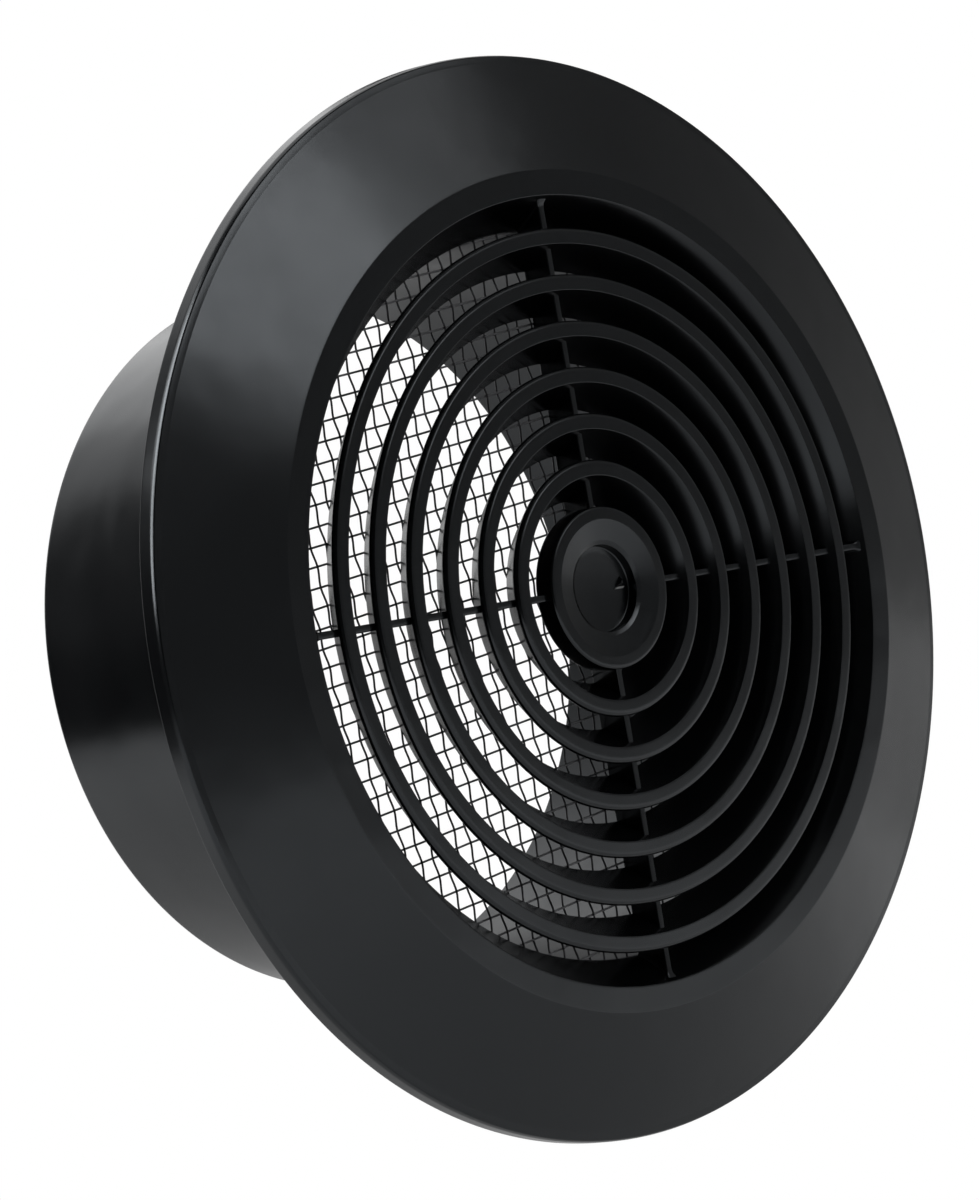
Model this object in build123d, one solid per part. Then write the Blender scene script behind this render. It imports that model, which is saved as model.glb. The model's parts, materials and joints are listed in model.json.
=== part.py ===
"""Round ceiling vent grille: one moulding with a louvred face, a wide flange and a duct collar,
and an insect screen bonded to the back of the louvres.

The axis lies along Y. The face looks towards -Y, the collar runs towards +Y, and Y = 0 is the
plane of the ceiling that the flange's rim rests on. A section is drawn as (radius, Y).
"""
from build123d import *
from math import radians, sqrt, tan
import os

# Driving dimensions, in millimetres and degrees.
# Flange and collar
flange_diameter = 180.0
flange_depth = 10.0         # from the front plane back to the ceiling
rim_height = 3.1            # side wall of the flange
rim_bevel = 0.6             # broken front edge of the rim
rim_band = 1.1              # narrow flat border inside the broken edge
land_width = 4.2            # flat ring round the opening, level with the louvres
wall = 1.6                  # wall of the flange and the collar
collar_diameter = 124.0     # slides into a 125 mm duct
collar_length = 61.2        # from the ceiling to the collar's end

# Louvres
louvre_count = 6
louvre_width = 2.6
louvre_lean = 34.0          # slant towards the axis, going back
louvre_depth = 7.0
louvre_gap = 5.5            # from the outermost louvre to the wall of the opening

# Hub
hub_radius = 13.45
hub_border = 2.15           # flat ring at the hub's edge
hub_dish_depth = 1.0        # shallow cone inside the border
hub_recess_radius = 7.2
hub_recess_depth = 1.9      # step down from the dish to the floor
hub_floor = 1.0

# Spokes
spoke_count = 4
spoke_width = 1.2
spoke_setback = 1.2         # behind the louvres' front edges
spoke_bite = 0.8            # how far a spoke runs into the hub and the opening's wall

# Insect screen, drawn with every fifth strand of the weave
screen_gap = 0.2            # clearance inside the collar
screen_border = 0.8
screen_thickness = 0.6
strand_width = 0.6
strand_pitch_across = 14.0
strand_pitch_up = 15.4
screen_turn = 6.6           # the weave is laid a little crooked

# Derived places: the louvres share out the room between the hub and the opening's wall,
# which leans like a louvre and reaches the collar's bore at their back edges.
front = -flange_depth
back = front + louvre_depth
slope = tan(radians(louvre_lean))
louvre_shift = louvre_depth * slope
flange_radius = flange_diameter / 2
collar_radius = collar_diameter / 2
collar_bore = collar_radius - wall
opening_radius = collar_bore + louvre_shift
louvre_pitch = (opening_radius - louvre_gap - hub_radius) / louvre_count


def corner_of(face, point):
    """The corner of a flat face that lies nearest to a point."""
    return face.vertices().sort_by_distance((point[0], point[1], 0))[0]


def section(outline, bevels=()):
    """A closed section; bevels lists the corners to break, each with its size."""
    face = make_face(Polyline(*outline, close=True))
    for point, length in bevels:
        face = chamfer(corner_of(face, point), length)
    return face


def turned(face):
    """The solid that a section makes round the grille's axis."""
    return revolve(face, Axis.Y, 360)


def behind(start, end, thickness):
    """The line from start to end, moved back by a wall's thickness, as a point and a direction."""
    run, rise = end[0] - start[0], end[1] - start[1]
    length = sqrt(run * run + rise * rise)
    across = (-rise / length, run / length)
    return (start[0] + across[0] * thickness, start[1] + across[1] * thickness), (run, rise)


def crossing(first, second):
    """The point where two lines meet."""
    (ax, ay), (ux, uy) = first
    (bx, by), (vx, vy) = second
    t = ((bx - ax) * vy - (by - ay) * vx) / (ux * vy - uy * vx)
    return ax + ux * t, ay + uy * t


def shell():
    """Flange and collar: one wall of even thickness that runs from the rim to the collar's end."""
    rim_top = -rim_height
    cone_foot = flange_radius - rim_bevel - rim_band
    skin = [
        (collar_bore, collar_length),
        (collar_bore, back),
        (opening_radius, front),
        (opening_radius + land_width, front),
        (cone_foot, rim_top),
        (flange_radius, rim_top),
        (flange_radius, 0),
    ]
    mouth = behind(skin[1], skin[2], wall)
    land = behind(skin[2], skin[3], wall)
    cone = behind(skin[3], skin[4], wall)
    skirt = (flange_radius - wall, 0), (0, 1)
    collar = (collar_radius, 0), (0, 1)
    lining = [
        (flange_radius - wall, 0),
        crossing(cone, skirt),
        crossing(land, cone),
        crossing(mouth, land),
        crossing(mouth, collar),
        (collar_radius, collar_length),
    ]
    return turned(section(skin + lining, [((flange_radius, rim_top), rim_bevel)]))


def louvre(radius):
    """One conical slat; radius is that of its front outer edge."""
    inner = radius - louvre_width
    outline = [
        (radius, front),
        (inner, front),
        (inner - louvre_shift, back),
        (radius - louvre_shift, back),
    ]
    return turned(section(outline))


def hub():
    """A straight-sided dished disc with a round recess, shallower than the louvres."""
    dish_floor = front + hub_dish_depth
    floor = dish_floor + hub_recess_depth
    underside = floor + hub_floor
    outline = [
        (0, floor),
        (hub_recess_radius, floor),
        (hub_recess_radius, dish_floor),
        (hub_radius - hub_border, front),
        (hub_radius, front),
        (hub_radius, underside),
        (0, underside),
    ]
    return turned(section(outline))


def spoke(number):
    """A thin rib from the hub to the wall of the opening, as deep as the louvres."""
    top = front + spoke_setback
    top_shift = slope * spoke_setback
    inner = hub_radius - spoke_bite
    outer = opening_radius + spoke_bite
    outline = [
        (inner - top_shift, top),
        (outer - top_shift, top),
        (outer - louvre_shift, back),
        (inner - louvre_shift, back),
    ]
    rib = extrude(section(outline), spoke_width / 2, both=True)
    return Rot(Y=number * 360 / spoke_count) * rib


def grille_body():
    """The whole moulding."""
    body = shell() + hub()
    for number in range(louvre_count):
        body += louvre(hub_radius + louvre_pitch * (number + 1))
    for number in range(spoke_count):
        body += spoke(number)
    return body


def strands(pitch, length):
    """Centre lines of parallel strands that leave a gap, not a strand, at the middle."""
    half = int(length / pitch) + 1
    return [(number + 0.5) * pitch for number in range(-half, half)]


def insect_screen():
    """A round screen with a welded border, lying on the louvres' back edges."""
    radius = collar_bore - screen_gap
    plane = Plane.XZ.offset(-back)
    opening = Circle(radius - screen_border)
    bars = Sketch()
    for place in strands(strand_pitch_across, radius):
        bars += Pos(place, 0) * Rectangle(strand_width, 2 * radius)
    for place in strands(strand_pitch_up, radius):
        bars += Pos(0, place) * Rectangle(2 * radius, strand_width)
    grid = Rot(Z=screen_turn) * bars
    outline = (Circle(radius) - opening) + (grid & opening)
    return extrude(plane * outline, -screen_thickness)


def main():
    os.makedirs("parts", exist_ok=True)
    export_step(grille_body(), "parts/grille_body.step")
    export_step(insect_screen(), "parts/insect_screen.step")


main()
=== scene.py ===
# %% [markdown]
# # A round ceiling vent grille in black plastic
# The real grille is one injection moulding: a shallow conical flange, six slanted louvre rings held by a
# cross of thin ribs, a dished hub and a tube that pushes into a duct. A round of woven wire screen is
# bonded to the backs of the louvres. The solid model is loaded first, because every piece made here has
# to sit exactly where the solid piece is, and at its size.

# %% Load the solid model
import json
import math
import random

import bmesh
import bpy
from mathutils import Matrix, Vector


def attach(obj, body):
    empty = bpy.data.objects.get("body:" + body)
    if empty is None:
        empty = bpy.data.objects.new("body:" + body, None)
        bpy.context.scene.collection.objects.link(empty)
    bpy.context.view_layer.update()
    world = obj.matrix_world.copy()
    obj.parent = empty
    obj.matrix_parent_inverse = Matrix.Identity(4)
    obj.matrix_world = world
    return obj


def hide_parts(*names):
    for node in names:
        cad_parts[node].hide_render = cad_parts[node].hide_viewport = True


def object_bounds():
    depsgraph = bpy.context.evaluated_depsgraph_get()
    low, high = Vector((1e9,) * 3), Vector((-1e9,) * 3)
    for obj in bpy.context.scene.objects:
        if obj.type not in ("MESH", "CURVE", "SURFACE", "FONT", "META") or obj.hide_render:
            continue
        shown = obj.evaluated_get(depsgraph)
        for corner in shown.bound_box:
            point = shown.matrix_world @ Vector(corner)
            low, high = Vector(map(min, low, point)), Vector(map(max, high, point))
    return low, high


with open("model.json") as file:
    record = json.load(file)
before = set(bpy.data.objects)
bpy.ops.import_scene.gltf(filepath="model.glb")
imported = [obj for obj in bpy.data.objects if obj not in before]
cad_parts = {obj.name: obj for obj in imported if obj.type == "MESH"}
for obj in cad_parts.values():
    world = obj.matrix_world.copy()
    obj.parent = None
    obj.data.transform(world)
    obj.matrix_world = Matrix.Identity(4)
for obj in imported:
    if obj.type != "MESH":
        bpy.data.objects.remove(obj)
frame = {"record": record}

solid_low, solid_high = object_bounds()
print("solid model from", [round(v, 4) for v in solid_low], "to", [round(v, 4) for v in solid_high])

# %% [markdown]
# The main sizes are read from the solid model, so that the two can't drift apart. The others are the
# moulder's own: they are in millimetres, and depths are counted back from the louvres' front plane. The
# axis lies along Y, the face looks towards -Y and the collar points towards +Y.

# %% Sizes of the moulding
MM = 0.001
front_y = solid_low.y / MM
flange_radius = solid_high.x / MM
collar_end = (solid_high.y - solid_low.y) / MM
ceiling_depth = -front_y
collar_radius = next(m["dims"]["r_mm"] for m in frame["record"]["mounts"] if m["name"] == "duct_collar")

wall = 1.6
collar_bore = collar_radius - wall
louvre_count = 6
louvre_depth = 7.0
louvre_slope = math.tan(math.radians(34.0))
louvre_shift = louvre_depth * louvre_slope
opening_radius = collar_bore + louvre_shift
hub_radius = 13.45
louvre_gap = 5.5
louvre_pitch = (opening_radius - louvre_gap - hub_radius) / louvre_count
print("flange radius", round(flange_radius, 2), "mm, louvre pitch", round(louvre_pitch, 3), "mm")

# %% [markdown]
# The camera comes early, because it decides how much detail each piece needs. The photograph was taken
# from the front left, level with the axis, with a long lens and the camera turned a little about its own
# line of sight. A constraint could aim it, but not turn it, so its matrix is written out. Three directions
# make a camera: forward to the aim, right, and up. They are the columns of the matrix, with the backward
# direction last, because a camera looks along its own -Z.

# %% Camera
camera_place = Vector((-453.44, -448.13, 0.02)) * MM
camera_aim = Vector((-14.29, 3.87, 1.24)) * MM
camera_roll = math.radians(9.54)

forward = (camera_aim - camera_place).normalized()
level_right = forward.cross(Vector((0, 0, 1))).normalized()
level_up = level_right.cross(forward)
right = level_right * math.cos(camera_roll) - level_up * math.sin(camera_roll)
up = level_right * math.sin(camera_roll) + level_up * math.cos(camera_roll)

camera_data = bpy.data.cameras.new("camera")
camera_data.sensor_width = 36.0
camera_data.lens = 115.57
camera_data.clip_start = 0.01
camera = bpy.data.objects.new("camera", camera_data)
bpy.context.scene.collection.objects.link(camera)
facing = Matrix((right, up, -forward)).transposed().to_4x4()
camera.matrix_world = Matrix.Translation(camera_place) @ facing
bpy.context.scene.camera = camera
print("camera", round((camera_aim - camera_place).length, 4), "m from its aim")

# %% [markdown]
# Almost all of the moulding is round, so it can be turned from sections, as on a lathe. A section is a
# short list of corners, each with the radius that the mould's edge has there. No edge of a real moulding
# is sharp: the thin lines of light along the rim and the louvres come from these small rounds. A bevel
# modifier could round the finished mesh, but a round that is worked out in the section is exact, and each
# corner can have its own. It becomes a short arc that touches both of the corner's straight runs.

# %% Rounded corners
arc_step = math.radians(15)
share_of_run = 0.45


def corner_arc(last, corner, following):
    """The arc that rounds a corner between its neighbours; a corner is (radius, depth, rounding)."""
    here = Vector(corner[:2])
    rounding = corner[2]
    if not rounding:
        return [here]
    before = Vector(last[:2]) - here
    after = Vector(following[:2]) - here
    room = share_of_run * min(before.length, after.length)
    before.normalize()
    after.normalize()
    angle = before.angle(after)
    reach = min(rounding / math.tan(angle / 2), room)
    radius = reach * math.tan(angle / 2)
    centre = here + (before + after).normalized() * (radius / math.sin(angle / 2))
    start, end = here + before * reach - centre, here + after * reach - centre
    steps = max(2, math.ceil((math.pi - angle) / arc_step))
    sweep = start.angle_signed(end)
    arc = []
    for k in range(steps + 1):
        turn = -sweep * k / steps
        x = start.x * math.cos(turn) - start.y * math.sin(turn)
        y = start.x * math.sin(turn) + start.y * math.cos(turn)
        arc.append(centre + Vector((x, y)))
    return arc


print("a square corner becomes an arc of", len(corner_arc((1, 0), (0, 0, 0.2), (0, 1))), "points")

# %% [markdown]
# A whole section is its arcs in order. Smooth shading spreads the bend of a round over the faces next to
# it, so a long flat run between two rounds would look swollen. A pair of extra points close to the run's
# ends keeps the bend there and the run flat. A modifier that weights the normals would do it too, but two
# more points in a section are simpler.

# %% Closed sections
hold = 0.3
long_run = 4 * hold


def rounded_section(corners):
    """Points round a closed section."""
    count = len(corners)
    arcs = [corner_arc(corners[i - 1], corners[i], corners[(i + 1) % count]) for i in range(count)]
    outline = []
    for i, arc in enumerate(arcs):
        outline += arc
        run = arcs[(i + 1) % count][0] - arc[-1]
        if run.length > long_run:
            step = run.normalized() * hold
            outline += [arc[-1] + step, arc[-1] + run - step]
    return outline


sample_bar = rounded_section([(2, 0, 0.2), (6, 0, 0.2), (6, 3, 0.2), (2, 3, 0.2)])
print("a four-cornered bar has", len(sample_bar), "points in its section")

# %% [markdown]
# Turning a section means setting copies of it round the axis and joining each copy to the next with faces.
# Blender's screw modifier does the same, but here the vertices are wanted as plain lists, because the
# rings, the hub and the flange are joined into one mesh afterwards.

# %% Turning a section
def turned(outline, segments):
    """Vertices and faces of a closed section turned round the grille's axis, in metres."""
    verts, faces = [], []
    count = len(outline)
    for s in range(segments):
        angle = 2 * math.pi * s / segments
        for r, d in outline:
            verts.append((r * math.cos(angle) * MM, (front_y + d) * MM, r * math.sin(angle) * MM))
    for s in range(segments):
        ahead = (s + 1) % segments
        for i in range(count):
            j = (i + 1) % count
            faces.append((s * count + i, s * count + j, ahead * count + j, ahead * count + i))
    return verts, faces


print("that bar, turned in 12 steps, has", len(turned(sample_bar, 12)[1]), "faces")

# %% [markdown]
# The grille comes out of its mould in one piece, so its turned parts become one mesh. They may run into
# each other, because nobody sees inside the plastic. Points that fall together are merged and all faces
# are turned outwards. The surface is shaded smooth, apart from the few edges that really are sharp.

# %% Joining and smoothing
merge_distance = 1e-7
sharp_angle = math.radians(40)


def joined(pieces):
    """Several sets of vertices and faces as one."""
    verts, faces = [], []
    for more_verts, more_faces in pieces:
        base = len(verts)
        verts += more_verts
        faces += [tuple(base + i for i in face) for face in more_faces]
    return verts, faces


def smooth_object(name, verts, faces):
    """A smooth-shaded object in the scene, with its faces turned outwards."""
    mesh = bpy.data.meshes.new(name)
    mesh.from_pydata(verts, [], faces)
    shape = bmesh.new()
    shape.from_mesh(mesh)
    bmesh.ops.remove_doubles(shape, verts=shape.verts, dist=merge_distance)
    bmesh.ops.recalc_face_normals(shape, faces=shape.faces)
    shape.to_mesh(mesh)
    shape.free()
    mesh.shade_smooth()
    mesh.set_sharp_from_angle(angle=sharp_angle)
    piece = bpy.data.objects.new(name, mesh)
    bpy.context.scene.collection.objects.link(piece)
    triangles = sum(len(p.vertices) - 2 for p in mesh.polygons)
    print(name, len(mesh.vertices), "vertices,", triangles, "triangles")
    return piece


print("edges over", round(math.degrees(sharp_angle)), "degrees stay sharp")

# %% [markdown]
# The flange and the collar are one wall of even thickness, because a thick place in a moulding sinks as
# it cools. A solidify modifier could thicken a sheet, but then the inside corners couldn't have rounds of
# their own. So the inside is the outside's line moved back by the wall's thickness, and its corners are
# where the moved lines cross.

# %% The far side of a wall
def moved_back(start, end):
    """A wall's far side: a point on it and its direction."""
    along = (Vector(end) - Vector(start)).normalized()
    return Vector(start) + Vector((-along.y, along.x)) * wall, along


def crossing(first, second):
    """Where two lines meet."""
    (a, u), (b, v) = first, second
    t = ((b.x - a.x) * v.y - (b.y - a.y) * v.x) / (u.x * v.y - u.y * v.x)
    return a + u * t


inside_corner = crossing(moved_back((0, 0), (9, 0)), moved_back((9, 0), (9, 9)))
print("walls that meet at [9, 0] have their inside corner at", [round(v, 2) for v in inside_corner])

# %% [markdown]
# The rim's side leans a little, so that the moulding leaves its mould, and ends in a soft bevel that
# catches the light as a bright line. Then comes a narrow border that leans less than the cone, and shows
# as a dark band. The list of corners goes once round the wall: along the collar's inside, over the mouth,
# the flat land and the cone to the rim, then behind the flange and along the collar's outside. One list
# keeps the wall closed, so that it looks right from behind too.

# %% Flange and collar
land_width = 4.2
rim_height = 3.1
rim_lean = 0.12
rim_bevel = (0.26, 0.65)
rim_border = 1.6
rim_tilt = 0.27
shell_steps = 300


def shell_section():
    """The wall's section; the last number of each corner is its rounding."""
    rim_top = ceiling_depth - rim_height
    cone_foot = flange_radius - rim_border
    mouth = moved_back((collar_bore, louvre_depth), (opening_radius, 0))
    land = moved_back((opening_radius, 0), (opening_radius + land_width, 0))
    cone = moved_back((opening_radius + land_width, 0), (cone_foot, rim_top - rim_tilt))
    skirt = Vector((flange_radius - wall, 0)), Vector((0, 1))
    tube_side = Vector((collar_radius, 0)), Vector((0, 1))
    return rounded_section([
        (collar_bore, collar_end, 0.4),
        (collar_bore, louvre_depth, 1.5),
        (opening_radius, 0, 0.15),
        (opening_radius + land_width, 0, 0.5),
        (cone_foot, rim_top - rim_tilt, 0.3),
        (flange_radius - rim_lean - rim_bevel[0], rim_top, 0.35),
        (flange_radius - rim_lean, rim_top + rim_bevel[1], 0.9),
        (flange_radius, ceiling_depth, 0.2),
        (flange_radius - wall, ceiling_depth, 0.2),
        (*crossing(cone, skirt), 0.5),
        (*crossing(land, cone), 0.8),
        (*crossing(mouth, land), 0.8),
        (*crossing(mouth, tube_side), 1.2),
        (collar_radius, collar_end, 0.7),
    ])


shell = turned(shell_section(), shell_steps)
print("flange and collar section turned:", len(shell[1]), "faces")

# %% [markdown]
# A louvre is a slat that leans towards the axis as it goes back, so that nobody below can look straight
# into the duct. Its section is a leaning four-cornered bar that thins towards the back, so that it leaves
# the mould. The front outer corner has a generous round, which shows as a black line beside each grey
# front, and the other corners have small ones. The louvres share out the room between hub and opening.
# Copies of one ring, scaled up, would grow thicker as well, so each ring is turned by itself.

# %% Louvre rings
louvre_width = 2.6
outer_slope = math.tan(math.radians(35.7))
inner_slope = math.tan(math.radians(28.0))
front_round = 0.85
edge_round = 0.12
back_round = 0.4
fewest_steps = 120
quarter_steps_per_mm = 1.2


def louvre(front_radius):
    """One ring; front_radius is that of its rounded front edge."""
    corner = (math.pi / 2 - math.atan(outer_slope)) / 2
    outer = front_radius - front_round + front_round / math.tan(corner)
    inner = front_radius - louvre_width
    outline = rounded_section([
        (outer, 0, front_round),
        (inner, 0, edge_round),
        (inner - inner_slope * louvre_depth, louvre_depth, back_round),
        (outer - outer_slope * louvre_depth, louvre_depth, edge_round),
    ])
    return turned(outline, max(fewest_steps, 4 * round(front_radius * quarter_steps_per_mm)))


louvres = [louvre(hub_radius + louvre_pitch * (k + 1)) for k in range(louvre_count)]
print("louvre rings:", len(louvres), "with", sum(len(faces) for _, faces in louvres), "faces")

# %% [markdown]
# The hub is a straight-sided disc, shallower than the louvres: a flat border, a shallow dish and a round
# recess with a bevelled edge, whose floor has sunk a little in the middle as it cooled. The bevel catches
# the front lamp as a pale crescent. A disc cut with booleans would need the same numbers and give rougher
# faces. The section reaches the axis, where all the copies of a point fall together and are merged.

# %% Hub
hub_border = 2.15
dish_depth = 1.0
recess_radius = 7.2
recess_floor = 2.9
recess_bevel = 0.7
bevel_slope = math.tan(math.radians(27.0))
hub_floor = 1.0
floor_sink = 0.28
floor_rings = (0, 1.5, 3, 4.5, 6)
hub_steps = 144


def hub():
    """The disc, from the middle of the recess's floor round to the middle of its underside."""
    underside = recess_floor + hub_floor
    bevel_top = dish_depth * (1 - recess_bevel / (hub_radius - hub_border - recess_radius))
    sunk = [(r, recess_floor + floor_sink * (1 - (r / recess_radius) ** 2), 0) for r in floor_rings]
    outline = rounded_section(sunk + [
        (recess_radius, recess_floor, 0.3),
        (recess_radius, bevel_top + bevel_slope * recess_bevel, 0.15),
        (recess_radius + recess_bevel, bevel_top, 0.15),
        (hub_radius - hub_border, 0, 0.3),
        (hub_radius, 0, 0.5),
        (hub_radius, underside, 0.3),
        (0, underside, 0),
    ])
    return turned(outline, hub_steps)


hub_disc = hub()
print("hub:", len(hub_disc[1]), "faces")

# %% [markdown]
# On the recess's floor stands the stub that is left where the plastic entered the mould: a three-sided
# pip. Below it lies a short, low bar, painted whitish grey as a painted highlight where the pip's lower
# edge catches the light. Both are so small that a handful of corners, given one by one, gives their shape.
# Their feet are sunk in the floor, so that no gap shows under them.

# %% Gate mark
pip_place = (5.2, 0.6)
pip_foot = ((-1.15, -0.75), (1.15, -0.75), (0.35, 1.25))
pip_top_share = 0.25
pip_height = 0.6
mark_foot = recess_floor + floor_sink
bar_low_left, bar_high_right = (-1.25, -1.05), (0.7, -0.72)
bar_slant = 0.35
bar_heights = (0.25, 0.2, 0.6, 0.6)


def beside_pip(across, depth, rise):
    """A point in metres; across and rise are counted from the pip's place."""
    return (pip_place[0] + across) * MM, (front_y + depth) * MM, (pip_place[1] + rise) * MM


def gate_mark():
    """The three-sided pip."""
    levels = ((1.0, mark_foot), (pip_top_share, recess_floor - pip_height))
    verts = [beside_pip(x * share, depth, z * share) for share, depth in levels for x, z in pip_foot]
    return verts, [(0, 1, 2), (3, 4, 5), (0, 1, 4, 3), (1, 2, 5, 4), (2, 0, 3, 5)]


def pip_edge_bar():
    """A low bar with a sloping top, along the pip's lower side, which carries that edge's painted highlight.
    """
    (left, low), (right, high) = bar_low_left, bar_high_right
    corners = [(left, low), (right, low), (right, high), (left + bar_slant, high)]
    verts = [beside_pip(x, mark_foot, z) for x, z in corners]
    verts += [beside_pip(x, mark_foot - height, z) for (x, z), height in zip(corners, bar_heights)]
    return verts, [(0, 1, 2, 3), (4, 5, 6, 7), (0, 1, 5, 4), (1, 2, 6, 5), (2, 3, 7, 6), (3, 0, 4, 7)]


# The bar below the pip carries a painted highlight: the light along the pip's lower edge.
pip, painted_highlight_bar = gate_mark(), pip_edge_bar()
print("gate mark:", len(pip[1]), "faces, torn edge:", len(painted_highlight_bar[1]))

# %% [markdown]
# Ribs and wires aren't round about the grille's axis. Each is a closed tube: a row of rings of points,
# joined one to the next, with a cap at both ends. A bevelled curve would make wires quickly, but not bars
# that change their section on the way. One helper serves both.

# %% Bars and wires
def tube(rings):
    """Vertices and faces of a capped tube through rings that all have the same number of points."""
    count = len(rings[0])
    verts = [point for ring in rings for point in ring]
    faces = []
    for start in range(0, len(verts) - count, count):
        for i in range(count):
            j = (i + 1) % count
            faces.append((start + i, start + j, start + count + j, start + count + i))
    faces.append(tuple(range(count)))
    faces.append(tuple(range(len(verts) - count, len(verts))))
    return verts, faces


square = [(0, 0), (1, 0), (1, 1), (0, 1)]
print("a square bar has", len(tube([[(x, y, z) for x, y in square] for z in (0, 1)])[1]), "faces")

# %% [markdown]
# Four thin ribs carry the louvres. Each is a straight bar with slightly rounded front edges, set a little
# behind the louvres' fronts. Where a rib runs into the hub it flares, and where it runs into the wall of
# the opening it flares and climbs in a small curve, as the mould's inside corners are rounded. A bar drawn
# as a row of sections can widen and rise along its way, which a stretched cube can't.

# %% Ribs
rib_count = 4
rib_width = 1.2
rib_setback = 1.2
rib_flare = 0.5
rib_front_round = 0.25
rib_back_round = 0.1
hub_bite = 0.9
wall_bite = 0.8
climbing_front = 0.5
inner_stations = ((0.0, 1.0), (1.0, 0.35), (1.5, 0.0))
outer_stations = ((1.8, 0.0, 0.0), (1.2, 0.2, 0.1), (0.9, 0.55, 0.35), (0.6, 1.0, 0.7))


def rib(number):
    """One rib; a station is a way from the rib's end, a share of the flare and, outside, a climb."""
    inner, outer = hub_radius - hub_bite, opening_radius + wall_bite
    stations = [(inner + way, rib_flare * share, 0.0) for way, share in inner_stations]
    stations += [(outer - way, rib_flare * share, climb) for way, share, climb in outer_stations]
    half = rib_width / 2
    bar = rounded_section([(-half, rib_setback, rib_front_round), (half, rib_setback, rib_front_round),
                           (half, louvre_depth, rib_back_round), (-half, louvre_depth, rib_back_round)])
    turn = number * 2 * math.pi / rib_count
    rings = []
    for radius, flare, climb in stations:
        ring = []
        for across, depth in bar:
            depth -= climb if depth < rib_setback + climbing_front else 0.0
            r = radius - louvre_slope * depth
            t = across * (1 + flare / half)
            ring.append(((r * math.cos(turn) - t * math.sin(turn)) * MM, (front_y + depth) * MM,
                         (r * math.sin(turn) + t * math.cos(turn)) * MM))
        rings.append(ring)
    return tube(rings)


ribs = [rib(k) for k in range(rib_count)]
print("ribs:", len(ribs), "with", sum(len(faces) for _, faces in ribs), "faces")

# %% [markdown]
# Now the turned parts, the pip and the ribs become the one moulding. It moves with the solid model's only
# body and stands for the plain solid. The bar with the painted highlight comes last in the mesh, so that
# its faces are easy to find when it gets its whitish painted highlight.

# %% One moulding
moulding_parts = [shell] + louvres + [hub_disc, pip] + ribs + [painted_highlight_bar]
moulding = smooth_object("grille_moulding", *joined(moulding_parts))
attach(moulding, "root")
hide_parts("grille_body")
print("moulding joined from", len(moulding_parts), "parts")

# %% [markdown]
# The screen is plain-woven from thin dark wire: each wire goes over one and under the next. A flat grid
# would do from far away, but here the wires cross bright openings and show their bends, so each wire is
# a thin six-sided tube that rises and falls as a cosine. It was cut from a roll and laid a little
# crooked, and the wires wander slightly, as they do in a cheap screen. The chances are drawn from a fixed
# seed, so that every run weaves the same screen. The ends are melted into the wall of the collar.

# %% One wire of the screen
melted_in = 0.2
screen_radius = collar_bore + melted_in
screen_turn = math.radians(6.6)
wire_radius = 0.175
wire_sides = 6
steps_per_crossing = 5
steep_wave = 0.24
pressed_in = 0.1
screen_depth = louvre_depth + wire_radius + steep_wave - pressed_in
least_wander, most_wander = 0.03, 0.09
wander_length = 9.0
most_offset = 0.07
chance = random.Random(7)


def woven_wire(number, place, other_pitch, wave, steep):
    """One wire, at its place from the middle; other_pitch is that of the wires it crosses."""
    length = math.sqrt(screen_radius ** 2 - place ** 2)
    count = max(2, math.ceil(2 * length / other_pitch * steps_per_crossing))
    wander = chance.uniform(least_wander, most_wander)
    phase = chance.uniform(0, 2 * math.pi)
    offset = chance.uniform(-most_offset, most_offset)
    cos_turn, sin_turn = math.cos(screen_turn), math.sin(screen_turn)
    rings = []
    for k in range(count + 1):
        s = -length + 2 * length * k / count
        sway = place + offset + wander * math.sin(s / wander_length + phase)
        rise = wave * math.cos(math.pi * (s / other_pitch - 0.5) + math.pi * number)
        ring = []
        for q in range(wire_sides):
            angle = 2 * math.pi * q / wire_sides
            across = sway + wire_radius * math.cos(angle)
            depth = screen_depth + rise + wire_radius * math.sin(angle)
            u, v = (across, s) if steep else (s, across)
            ring.append(((u * cos_turn - v * sin_turn) * MM, (front_y + depth) * MM,
                         (u * sin_turn + v * cos_turn) * MM))
        rings.append(ring)
    return tube(rings)


print("wire", 2 * wire_radius, "mm thick, its middle", round(screen_depth, 3), "mm behind the front")

# %% [markdown]
# Two families of wires cross to make the screen. The steep wires take nearly all of the bend and the
# others stay almost straight, because the loom pulled those tight. Their waves have opposite signs, so
# that they pass over and under each other. A wire that would only graze the border is left out.

# %% Woven screen
level_wave = 0.06
end_bite = 0.3
pitch_across = 2.80
pitch_up = 3.08


def family(own_pitch, other_pitch, wave, steep):
    """All the wires that run one way."""
    half = int(screen_radius / own_pitch) + 1
    wires = []
    for number in range(-half, half):
        place = (number + 0.5) * own_pitch
        if abs(place) < screen_radius - end_bite:
            wires.append(woven_wire(number, place, other_pitch, wave, steep))
    return wires


steep_wires = family(pitch_across, pitch_up, steep_wave, True)
level_wires = family(pitch_up, pitch_across, -level_wave, False)
screen = smooth_object("woven_screen", *joined(steep_wires + level_wires))
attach(screen, "root")
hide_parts("insect_screen")
print("woven screen:", len(steep_wires), "steep wires and", len(level_wires), "level ones")

# %% [markdown]
# Every finish here is a principled shader whose values change a little over the surface, as no real
# surface is quite even. Noise textures make the changes. They read the object's own coordinates, so the
# pattern has a true size and needs no unwrapping. A noise mostly stays near its middle, so that part of it
# is stretched to the range that is wanted.

# %% Helpers for finishes
noise_middle = (0.3, 0.7)


def new_finish(name):
    """A material, its nodes and links, its shader and its coordinates."""
    material = bpy.data.materials.new(name)
    material.use_nodes = True
    nodes, links = material.node_tree.nodes, material.node_tree.links
    return material, nodes, links, nodes["Principled BSDF"], nodes.new("ShaderNodeTexCoord")


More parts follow.
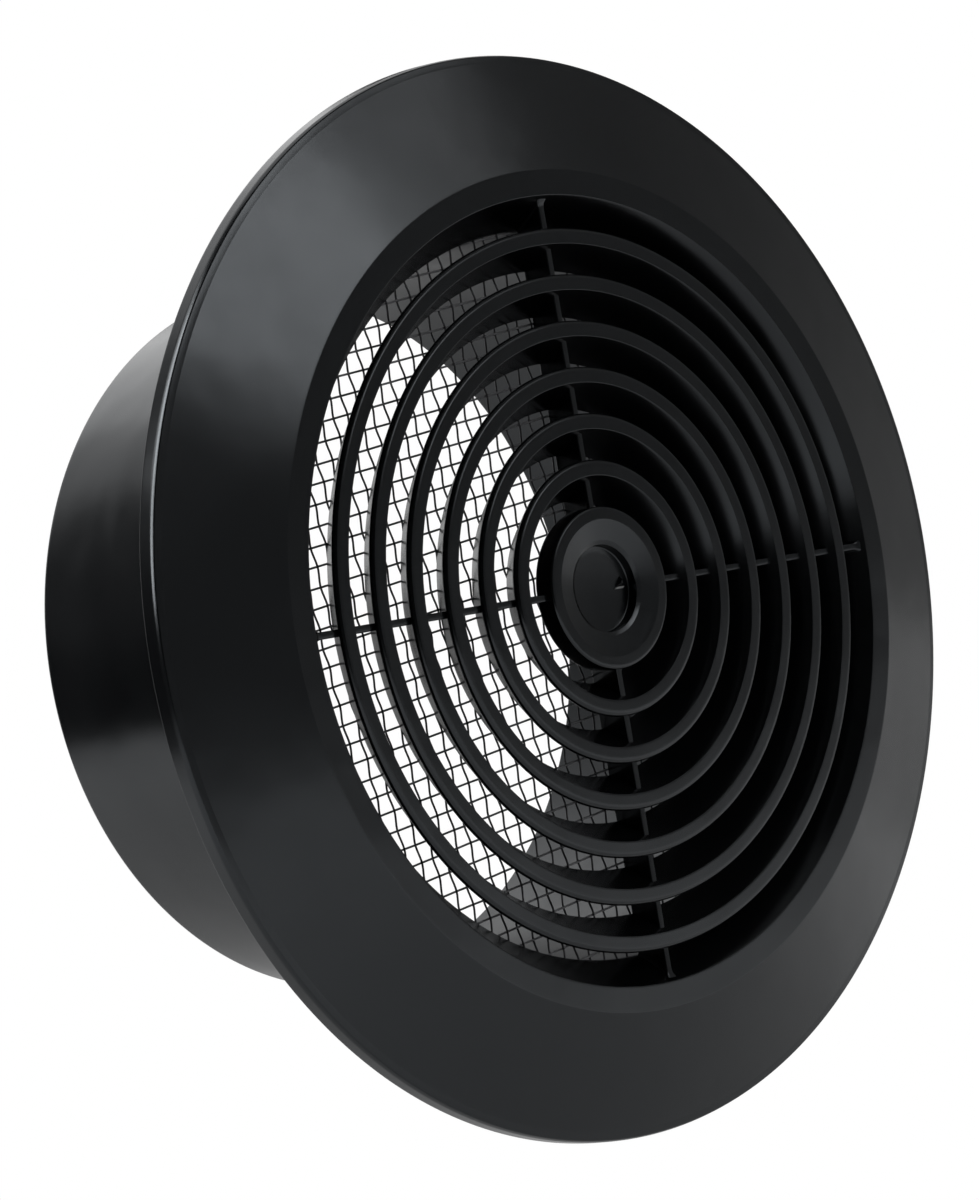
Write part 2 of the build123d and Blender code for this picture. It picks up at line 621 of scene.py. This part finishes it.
def noise(nodes, links, coords, scale, detail):
    """A noise whose scale is counted in waves per metre."""
    texture = nodes.new("ShaderNodeTexNoise")
    texture.inputs["Scale"].default_value = scale
    texture.inputs["Detail"].default_value = detail
    links.new(coords.outputs["Object"], texture.inputs["Vector"])
    return texture


def spread(nodes, links, source, low, high):
    """The middle of a noise stretched to a range of values."""
    ramp = nodes.new("ShaderNodeMapRange")
    ramp.inputs["From Min"].default_value, ramp.inputs["From Max"].default_value = noise_middle
    ramp.inputs["To Min"].default_value = low
    ramp.inputs["To Max"].default_value = high
    links.new(source.outputs["Fac"], ramp.inputs["Value"])
    return ramp.outputs["Result"]


def tinted(nodes, links, source, dark, pale):
    """A colour that a noise changes from dark to pale."""
    tint = nodes.new("ShaderNodeMix")
    tint.data_type = "RGBA"
    tint.inputs["A"].default_value = (*dark, 1)
    tint.inputs["B"].default_value = (*pale, 1)
    links.new(source.outputs["Fac"], tint.inputs["Factor"])
    return tint.outputs["Result"]


print("noise from", noise_middle[0], "to", noise_middle[1], "is stretched to each finish's range")

# %% [markdown]
# Black moulded plastic reflects far more light by gloss than by its own colour: only a few hundredths of
# the light come back, mostly as soft mirror images of the lamps. So the base colour is nearly black and
# the roughness does the work. A very fine grain in the surface, slow cloudy changes of gloss left by the
# flow of the melt, and the slight waviness of a wall that has cooled unevenly keep it from looking like
# polished glass. The inside of the collar is duller, because nobody polishes that part of the mould.

# %% Black plastic
cloud_scale, wave_scale, grain_scale = 60, 42, 5200
wave_strength, wave_height = 1.0, 0.0003
grain_strength, grain_height = 0.06, 0.00005


def bumped(nodes, links, source, strength, height):
    """A bump that a noise raises; its height is in metres."""
    bump = nodes.new("ShaderNodeBump")
    bump.inputs["Strength"].default_value = strength
    bump.inputs["Distance"].default_value = height
    links.new(source.outputs["Fac"], bump.inputs["Height"])
    return bump


def black_plastic(name, smoothest, roughest):
    """The moulding's plastic, with its range of roughness."""
    material, nodes, links, shader, coords = new_finish(name)
    shader.inputs["IOR"].default_value = 1.45
    shader.inputs["Specular Tint"].default_value = (0.935, 1.0, 1.06, 1)
    cloud = noise(nodes, links, coords, cloud_scale, 3)
    links.new(spread(nodes, links, cloud, smoothest, roughest), shader.inputs["Roughness"])
    black = tinted(nodes, links, cloud, (0.0016, 0.0018, 0.0021), (0.0028, 0.0031, 0.0036))
    links.new(black, shader.inputs["Base Color"])
    fine, slow = (noise(nodes, links, coords, scale, 2) for scale in (grain_scale, wave_scale))
    grain = bumped(nodes, links, fine, grain_strength, grain_height)
    sway = bumped(nodes, links, slow, wave_strength, wave_height)
    links.new(sway.outputs["Normal"], grain.inputs["Normal"])
    links.new(grain.outputs["Normal"], shader.inputs["Normal"])
    return material


polished_black = black_plastic("black_moulded_plastic", 0.18, 0.25)
dull_black = black_plastic("dull_black_plastic", 0.36, 0.46)
print("black plastic:", len(polished_black.node_tree.nodes), "nodes")

# %% [markdown]
# The bar along the pip's lower edge is a painted highlight: a rough finish between grey and white, where
# that edge catches the light. The bar is only a few pixels long, so a fine, strong noise between grey and
# white is enough to break it up.

# %% Painted highlight on the pip's edge
highlight_noise_scale = 2500


def painted_highlight_plastic():
    """The whitish grey painted highlight for the bar along the pip's lower edge."""
    material, nodes, links, shader, coords = new_finish("painted_highlight_plastic")
    shader.inputs["Roughness"].default_value = 0.6
    highlight_noise = noise(nodes, links, coords, highlight_noise_scale, 2)
    # Grey to white here is a painted highlight, the light on the pip's lower edge.
    links.new(tinted(nodes, links, highlight_noise, (0.3, 0.31, 0.31), (0.75, 0.76, 0.76)), shader.inputs["Base Color"])
    return material


painted_highlight_finish = painted_highlight_plastic()
print("torn plastic:", len(painted_highlight_finish.node_tree.nodes), "nodes")

# %% [markdown]
# The wire is dark, half-dull metal, with small differences along its length. The loom's tight wires stand
# out from the weave less, but they catch the light, and against the collar's dark inside they show as pale
# lines. So the same finish is made twice, once with paler colours and less metal, as a painted sheen.

# %% Screen wire
dull_scale = 900
wire_roughness = (0.35, 0.55)
blue_share = 1.06


def screen_wire(name, darkest, palest, metal):
    """Wire whose grey changes between two values."""
    material, nodes, links, shader, coords = new_finish(name)
    shader.inputs["Metallic"].default_value = metal
    dull = noise(nodes, links, coords, dull_scale, 3)
    links.new(spread(nodes, links, dull, *wire_roughness), shader.inputs["Roughness"])
    dark, pale = ((grey, grey, grey * blue_share) for grey in (darkest, palest))
    links.new(tinted(nodes, links, dull, dark, pale), shader.inputs["Base Color"])
    return material


dark_wire = screen_wire("dark_wire", 0.05, 0.11, 0.85)
# The paler, less metallic copy is a painted sheen: the light that the level wires catch.
painted_sheen_wire = screen_wire("painted_sheen_wire", 0.24, 0.44, 0.4)
print("screen wire:", [dark_wire.name, painted_sheen_wire.name])

# %% [markdown]
# A mesh can carry several finishes, and each face says which one it has. The faces of the bar with the
# painted highlight are the last of the moulding. The collar's inside is found by where its faces are and
# which way they look: at the bore's radius, and towards the axis. On the screen the steep wires come first,
# and the level ones after them get the paler copy with the painted sheen.

# %% Finishes on the pieces
bore_tolerance = 0.3
towards_axis = -0.95

for finish in (polished_black, painted_highlight_finish, dull_black):
    moulding.data.materials.append(finish)
# These last faces, the bar below the pip, get the painted highlight.
for face in list(moulding.data.polygons)[-len(painted_highlight_bar[1]):]:
    face.material_index = 1
for face in moulding.data.polygons:
    outwards = Vector((face.center.x, 0, face.center.z))
    at_bore = abs(outwards.length / MM - collar_bore) < bore_tolerance
    if at_bore and face.normal.dot(outwards.normalized()) < towards_axis:
        face.material_index = 2

for finish in (dark_wire, painted_sheen_wire):
    screen.data.materials.append(finish)
steep_faces = sum(len(faces) for _, faces in steep_wires)
# The level wires get the painted sheen.
for face in list(screen.data.polygons)[steep_faces:]:
    face.material_index = 1
print("dull faces inside the collar:", sum(f.material_index == 2 for f in moulding.data.polygons))

# %% [markdown]
# The photograph has a pure white background and a black object, so the studio is simple: a white floor
# well below, a dome that is white to the camera, a ring of cloths and a few soft lamps. A background that
# is really lit white would flood the object with light. So floor and dome look white to the camera and in
# mirrors, and light the object as plain grey paper does. The light path node tells these rays apart.

# %% What is seen directly
def seen_directly(nodes, links):
    """1 for rays from the camera, mirror rays and rays through glass, and 0 for the light itself."""
    path = nodes.new("ShaderNodeLightPath")
    total = path.outputs["Is Camera Ray"]
    for kind in ("Is Glossy Ray", "Is Transmission Ray"):
        either = nodes.new("ShaderNodeMath")
        either.operation = "MAXIMUM"
        links.new(total, either.inputs[0])
        links.new(path.outputs[kind], either.inputs[1])
        total = either.outputs[0]
    return total


print("white is for the camera, mirrors and glass; the rest of the studio's light is grey")

# %% [markdown]
# The floor stays out of the picture, but the grille mirrors it: the grey of the flange's lower half and of
# the collar's underside comes from there. A flat grid is all that it needs to be. It lies well below the
# grille, as in a studio where a small thing is held up by a stand.

# %% Floor
floor_size = 12
bpy.ops.mesh.primitive_grid_add(x_subdivisions=8, y_subdivisions=8, size=floor_size)
floor = bpy.context.active_object
floor.name = "floor"
floor.location = (0.32, 0.08, -0.45)
print("floor at", round(floor.location.z, 3), "m")

# %% [markdown]
# The floor is white paper. Right below the grille, where the shadow falls, most of what shows is the paper
# itself. Away from it the paper glows more and more white to whatever sees it directly, until it meets the
# dome without a line. A shader that mixes the two by the distance from the floor's middle does that.

# %% White paper
shade_radius, white_radius = 0.45, 1.27
least_glow = 0.42


def glow_by_distance(nodes, links):
    """The share of white glow, which grows with the distance from the floor's middle."""
    coords = nodes.new("ShaderNodeTexCoord")
    away = nodes.new("ShaderNodeVectorMath")
    away.operation = "LENGTH"
    links.new(coords.outputs["Object"], away.inputs[0])
    fade = nodes.new("ShaderNodeMapRange")
    fade.inputs["From Min"].default_value = shade_radius
    fade.inputs["From Max"].default_value = white_radius
    fade.inputs["To Min"].default_value = least_glow
    fade.inputs["To Max"].default_value = 1.0
    links.new(away.outputs["Value"], fade.inputs["Value"])
    return fade.outputs["Result"]


def white_floor():
    """Paper that takes shadows, mixed with a white glow for what is seen directly."""
    material = bpy.data.materials.new("white_floor")
    material.use_nodes = True
    nodes, links = material.node_tree.nodes, material.node_tree.links
    nodes.clear()
    output = nodes.new("ShaderNodeOutputMaterial")
    paper = nodes.new("ShaderNodeBsdfDiffuse")
    paper.inputs["Color"].default_value = (0.7, 0.7, 0.7, 1)
    glow = nodes.new("ShaderNodeEmission")
    glow.inputs["Strength"].default_value = 1.0
    mix = nodes.new("ShaderNodeMixShader")
    share = nodes.new("ShaderNodeMath")
    share.operation = "MULTIPLY"
    links.new(glow_by_distance(nodes, links), share.inputs[0])
    links.new(seen_directly(nodes, links), share.inputs[1])
    links.new(share.outputs[0], mix.inputs["Fac"])
    links.new(paper.outputs[0], mix.inputs[1])
    links.new(glow.outputs[0], mix.inputs[2])
    links.new(mix.outputs[0], output.inputs["Surface"])
    return material


floor.data.materials.append(white_floor())
print("paper glows from", least_glow, "at", shade_radius, "m to 1.0 at", white_radius, "m")

# %% [markdown]
# The dome is the sky of this small studio. The camera, and every mirror ray, sees it pure white. The light
# that it sheds on the object is weaker and grey, so that the black stays black. A picture of a real studio
# could do this too, but two plain backgrounds and the light path are enough here.

# %% Dome
world = bpy.data.worlds.new("studio")
bpy.context.scene.world = world
world.use_nodes = True
nodes, links = world.node_tree.nodes, world.node_tree.links
nodes.clear()
dome = nodes.new("ShaderNodeOutputWorld")
room = nodes.new("ShaderNodeBackground")
room.inputs["Color"].default_value = (0.45, 0.45, 0.45, 1)
white = nodes.new("ShaderNodeBackground")
white.inputs["Color"].default_value = (1, 1, 1, 1)
either = nodes.new("ShaderNodeMixShader")
links.new(seen_directly(nodes, links), either.inputs["Fac"])
links.new(room.outputs[0], either.inputs[1])
links.new(white.outputs[0], either.inputs[2])
links.new(either.outputs[0], dome.inputs["Surface"])
print("dome:", len(nodes), "nodes")

# %% [markdown]
# A glossy black thing is only as black as what it mirrors, so a photographer hangs cloths round it. Each
# cloth is a piece of a large ball round the grille, cut between two compass angles and two heights, so
# that it covers exactly the directions that a part of the grille mirrors. The camera looks through all of
# them: only reflections and shadows know that they are there.

# %% Hanging a cloth
cloth_distance = 1.6
cloth_columns, cloth_rows = 24, 12


def direction(compass, lift):
    """The way to a compass angle, from +X towards +Y, and a height above level, both in degrees."""
    turn, rise = math.radians(compass), math.radians(lift)
    return Vector((math.cos(turn) * math.cos(rise), math.sin(turn) * math.cos(rise), math.sin(rise)))


def hung_cloth(name, first, last, low, high):
    """A curved cloth between two compass angles and two heights."""
    verts, faces = [], []
    for i in range(cloth_columns + 1):
        compass = first + (last - first) * i / cloth_columns
        for j in range(cloth_rows + 1):
            verts.append(direction(compass, low + (high - low) * j / cloth_rows) * cloth_distance)
    for i in range(cloth_columns):
        for j in range(cloth_rows):
            k = i * (cloth_rows + 1) + j
            faces.append((k, k + 1, k + cloth_rows + 2, k + cloth_rows + 1))
    mesh = bpy.data.meshes.new(name)
    mesh.from_pydata(verts, [], faces)
    cloth = bpy.data.objects.new(name, mesh)
    cloth.visible_camera = False
    bpy.context.scene.collection.objects.link(cloth)
    return cloth


print("cloths hang", cloth_distance, "m away")

# %% [markdown]
# The cloths are dull felt in several greys. Two of them fade with height, because the grille's greys fade
# there as well: the height of a point on the cloth sets its shade. The gauze lets half of the light by,
# which makes a soft step between a cloth and the bare dome.

# %% Felt and gauze
def felt(name, shade, thickness=1.0):
    """Plain felt; thin felt lets light by."""
    material = bpy.data.materials.new(name)
    material.use_nodes = True
    shader = material.node_tree.nodes["Principled BSDF"]
    shader.inputs["Base Color"].default_value = (shade, shade, shade, 1)
    shader.inputs["Roughness"].default_value = 1.0
    shader.inputs["Alpha"].default_value = thickness
    return material


def felt_by_height(name, low_shade, low, high_shade, high):
    """Felt of one shade up to the height low and of another above the height high, in metres."""
    material = felt(name, low_shade)
    nodes, links = material.node_tree.nodes, material.node_tree.links
    coords = nodes.new("ShaderNodeTexCoord")
    parts = nodes.new("ShaderNodeSeparateXYZ")
    links.new(coords.outputs["Object"], parts.inputs["Vector"])
    shade = nodes.new("ShaderNodeMapRange")
    ends = {"From Min": low, "From Max": high, "To Min": low_shade, "To Max": high_shade}
    for socket, value in ends.items():
        shade.inputs[socket].default_value = value
    links.new(parts.outputs["Z"], shade.inputs["Value"])
    links.new(shade.outputs["Result"], nodes["Principled BSDF"].inputs["Base Color"])
    return material


black_felt, gap_felt, grey_felt = felt("black_felt", 0.11), felt("gap_felt", 0.18), felt("grey_felt", 0.95)
side_felt = felt_by_height("side_felt", 0.13, 0.0, 0.4, 0.7)
fading_felt = felt_by_height("fading_felt", 0.97, 0.05, 0.66, 0.45)
gauze = felt("gauze", 0.9, 0.5)
print("cloths of", [m.name for m in (black_felt, gap_felt, grey_felt, side_felt, fading_felt, gauze)])

# %% [markdown]
# Black felt on the left keeps the flange's left side and the middle of the collar dark. Grey felt in front
# and on the right, with a hem of gauze, gives the right half its soft greys. Behind, a low dark cloth keeps
# the louvres' edges from flashing white, and grey felt with a strip of gauze above it shows in the outer
# sides of the left louvres, which mirror the way out through the collar.

# %% Cloths round the grille
nearly_up = 88
for cloth, finish in ((hung_cloth("curtain_side", 114, 160, -14, nearly_up), side_felt),
                      (hung_cloth("curtain_left", 160, 250, -12, nearly_up), black_felt),
                      (hung_cloth("curtain_front", 250, 290, -12, nearly_up), grey_felt),
                      (hung_cloth("curtain_corner", 290, 335, -4.2, nearly_up), grey_felt),
                      (hung_cloth("curtain_right", 335, 395, -4, nearly_up), fading_felt),
                      (hung_cloth("curtain_hem", 335, 395, -15, -4), gauze),
                      (hung_cloth("curtain_gap", 28, 54, -14, 27), gap_felt),
                      (hung_cloth("curtain_behind", 54, 92, -14, 2), grey_felt),
                      (hung_cloth("curtain_veil", 54, 92, 2, 23), gauze)):
    cloth.data.materials.append(finish)
    print(cloth.name, "hung with", len(cloth.data.polygons), "faces")

# %% [markdown]
# Each highlight on the real grille is the mirror image of one soft lamp, so each lamp was placed by working
# out where the surface sends the camera's line of sight. The front lamp, with a weaker one beside it,
# draws the pale patch on the flange's upper left. The one behind whitens the top of the collar. Close by
# on the left, a tall narrow lamp makes the bright line along the rim's bevel, and a small one lights the
# rim's side. Area lamps have edges as soft boxes do, which point lamps lack.

# %% Lamps
def soft_lamp(name, compass, lift, distance, roll, width, height, brightness):
    """A soft lamp that faces the object; its energy grows with its area, so brightness is how it looks."""
    away = direction(compass, lift)
    data = bpy.data.lights.new(name, "AREA")
    data.shape = "RECTANGLE"
    data.size = width
    data.size_y = height
    data.energy = brightness * math.pi * width * height
    lamp = bpy.data.objects.new(name, data)
    facing = (-away).to_track_quat("-Z", "Y").to_matrix().to_4x4()
    tipped = facing @ Matrix.Rotation(math.radians(roll), 4, "Z")
    lamp.matrix_world = Matrix.Translation(away * distance) @ tipped
    bpy.context.scene.collection.objects.link(lamp)


far, near = 1.2, 0.5
soft_lamp("lamp_behind", 75, 37, far, roll=0, width=0.7, height=0.36, brightness=0.85)
soft_lamp("lamp_front", 285.5, 30.8, far, roll=28, width=0.50, height=0.26, brightness=3.6)
soft_lamp("lamp_fill", 308, 37, far, roll=0, width=0.42, height=0.24, brightness=1.1)
soft_lamp("lamp_strip", 172, 33, near, roll=0, width=0.1, height=0.44, brightness=12.0)
soft_lamp("lamp_left", 150, 43, near, roll=0, width=0.18, height=0.32, brightness=3.0)

# %% [markdown]
# Last come the colour settings.

# %% Finish
bpy.context.scene.view_settings.view_transform = "Standard"
